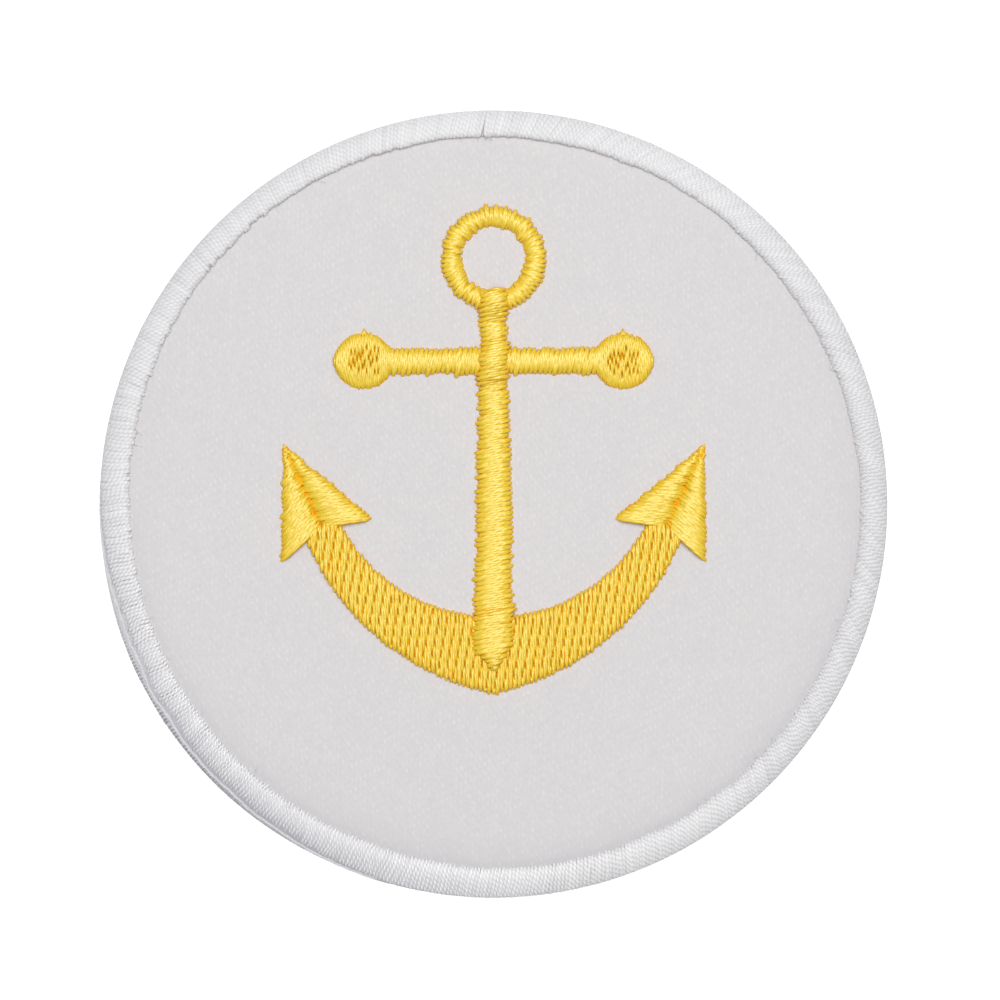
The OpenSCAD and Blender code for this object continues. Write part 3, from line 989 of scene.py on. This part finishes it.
def twill_material(name, twill):
    """Matt white twill: the weave group gives its relief and painted highlights where a float
    stands up, a fine noise its grain, and a broad one a soft mottle. The attribute shade dims it
    with painted shade."""
    mat, n, shader = material(name)
    shader.inputs["Roughness"].default_value = 0.75
    shader.inputs["Specular IOR Level"].default_value = 0.3
    node = n.add("ShaderNodeGroup", node_tree=twill)
    place = n.add("ShaderNodeTexCoord")
    grain, mottle = [
        n.add("ShaderNodeTexNoise", Scale=scale, Detail=2.0) for scale in (3300.0, 420.0)
    ]
    for noise in (grain, mottle):
        n.link(place.outputs["Object"], noise.inputs["Vector"])
    by_grain, by_mottle, by_highlight, least_light = 1.6, 0.4, 0.6, 0.3
    from_mean = n.math("SUBTRACT", grain.outputs[0], 0.5)
    share = n.math("MULTIPLY_ADD", from_mean, by_grain, least_light)
    share = n.math("MULTIPLY_ADD", mottle.outputs[0], by_mottle, share)
    base = n.mix(share, TWILL_DARK, TWILL_LIGHT)
    highlight = n.math("MULTIPLY", node.outputs["Highlight"], by_highlight)
    shade = n.add("ShaderNodeAttribute", attribute_name="shade").outputs["Fac"]
    # painted shade beside the border, from the shade attribute
    dim = n.math("MULTIPLY", shade, n.math("ADD", grain.outputs[0], 0.5))
    # painted highlights on the floats' tops
    lit = n.mix(highlight, base, TWILL_HIGHLIGHT)
    n.link(n.mix(dim, lit, TWILL_SHADE, "MULTIPLY"), shader.inputs["Base Color"])
    bump = n.add("ShaderNodeBump", Strength=0.6, Distance=0.03 * MM)
    n.link(n.math("ADD", node.outputs["Height"], grain.outputs[0]), bump.inputs["Height"])
    n.link(bump.outputs[0], shader.inputs["Normal"])
    return mat


def screen(red, green, blue):
    """A colour from screen values of 0 to 255."""
    c = np.array([red, green, blue]) / 255
    c = np.where(c <= 0.04045, c / 12.92, ((c + 0.055) / 1.055) ** 2.4)
    return (*map(float, c), 1.0)


TWILL_DARK = screen(200, 198, 200)
TWILL_LIGHT = screen(211, 207, 207)
TWILL_HIGHLIGHT = screen(219, 217, 217)
TWILL_SHADE = (0.85, 0.855, 0.875, 1.0)
# white thread: the dark colour is painted shade in the ply grooves
WHITE_LIGHT = screen(246, 245, 245)
WHITE_DARK = screen(186, 185, 189)
CORE_WHITE = screen(224, 223, 226)
CORE_GAP_SHADE = screen(166, 165, 174)
# painted shade colour for the sides and sunk parts of the white thread
WHITE_PAINTED_SHADE = screen(138, 137, 147)
# gold thread: the dark colour is painted shade in the ply grooves
GOLD_LIGHT = screen(231, 206, 52)
GOLD_DARK = screen(230, 190, 24)
# painted shade colour, orange, for the sides and sunk parts of the gold thread
GOLD_PAINTED_SHADE = screen(246, 192, 4)

# Put the patch together

twist = twist_group()
gold = thread_material(
    "gold thread", twist, GOLD_LIGHT, GOLD_DARK, GOLD_PAINTED_SHADE,
    side=1.0, metal=0.8, glow=0.05, rough=0.38, gloss=1.0, depth=0.034, pitch=2.2,
)
white = thread_material(
    "white thread", twist, WHITE_LIGHT, WHITE_DARK, WHITE_PAINTED_SHADE,
    side=0.33, metal=0.0, glow=0.0, rough=0.42, gloss=0.35, depth=0.06, pitch=0.95,
)
core_white = core_material("border padding", CORE_WHITE, CORE_GAP_SHADE)
twill = twill_material("white twill", twill_group())

dressed = [
    (ring(), "anchor_ring", "gold_thread", gold),
    (stock(), "anchor_stock", "gold_thread", gold),
    (disc(-1), "stock_end_left", "gold_thread", gold),
    (disc(1), "stock_end_right", "gold_thread", gold),
    (arms(), "anchor_arms", "gold_thread", gold),
    (fluke(-1), "fluke_left", "gold_thread", gold),
    (fluke(1), "fluke_right", "gold_thread", gold),
    (shank(), "anchor_shank", "gold_thread", gold),
    (border(), "border", "border_thread", white),
    (purl(), "border", "border_thread", white),
    (loose_ends(), "border", "border_thread", white),
    (border_back(), "border", "border_thread", white),
    (border_core(), "border", "border_thread", core_white),
    (ground(), "ground", "ground_twill", twill),
]
for obj, node, slot, finish in dressed:
    obj.data.materials.append(finish)
    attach(obj, "root")
    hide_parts(node)


# Studio

def floor():
    """A plain pale table top under the patch, lit from inside a little."""
    half = 6.0
    grey, glow = 0.3, 0.85
    mesh = bpy.data.meshes.new("table")
    corners = [(-half, -half, 0), (half, -half, 0), (half, half, 0), (-half, half, 0)]
    mesh.from_pydata(corners, [], [(0, 1, 2, 3)])
    obj = piece("table", mesh)
    mat, n, shader = material("pale table")
    shader.inputs["Base Color"].default_value = (grey, grey, grey, 1)
    shader.inputs["Roughness"].default_value = 0.9
    shader.inputs["Emission Color"].default_value = (1, 1, 1, 1)
    shader.inputs["Emission Strength"].default_value = glow
    mesh.materials.append(mat)


def lamp(name, azimuth, elevation, away, size, power):
    """A square soft light that faces the patch from a direction, in degrees, and a distance."""
    az, el = math.radians(azimuth), math.radians(elevation)
    light = bpy.data.lights.new(name, "AREA")
    light.size = size
    light.energy = power
    obj = bpy.data.objects.new(name, light)
    bpy.context.collection.objects.link(obj)
    flat = away * math.cos(el)
    obj.location = (flat * math.cos(az), flat * math.sin(az), away * math.sin(el))
    obj.rotation_euler = (math.pi / 2 - el, 0, az + math.pi / 2)


def camera():
    """Straight above the patch, so that the photo's frame of 1000 pixels holds frame_mm and the
    patch's middle lies at its place in that frame."""
    frame_mm, frame_px = 96.65, 1000
    middle_px = (493.6, 504.1)
    data = bpy.data.cameras.new("camera")
    data.lens = 135
    data.sensor_width = 36
    obj = bpy.data.objects.new("camera", data)
    bpy.context.collection.objects.link(obj)
    per_px = frame_mm / frame_px
    x = (frame_px / 2 - middle_px[0]) * per_px
    y = (middle_px[1] - frame_px / 2) * per_px
    away = frame_mm * data.lens / data.sensor_width
    obj.location = (x * MM, y * MM, (away + BORDER_HIGH[2] / 2) * MM)
    bpy.context.scene.camera = obj


def surround(strength):
    """An even pale surround."""
    world = bpy.data.worlds.new("surround")
    world.use_nodes = True
    back = world.node_tree.nodes["Background"]
    back.inputs[0].default_value = (1, 1, 1, 1)
    back.inputs[1].default_value = strength
    bpy.context.scene.world = world


floor()
surround(0.33)
lamp("ceiling", azimuth=75, elevation=89, away=1.0, size=1.0, power=4.0)
lamp("window", azimuth=75, elevation=72, away=0.8, size=0.5, power=3.9)
camera()
bpy.context.scene.view_settings.view_transform = "Standard"
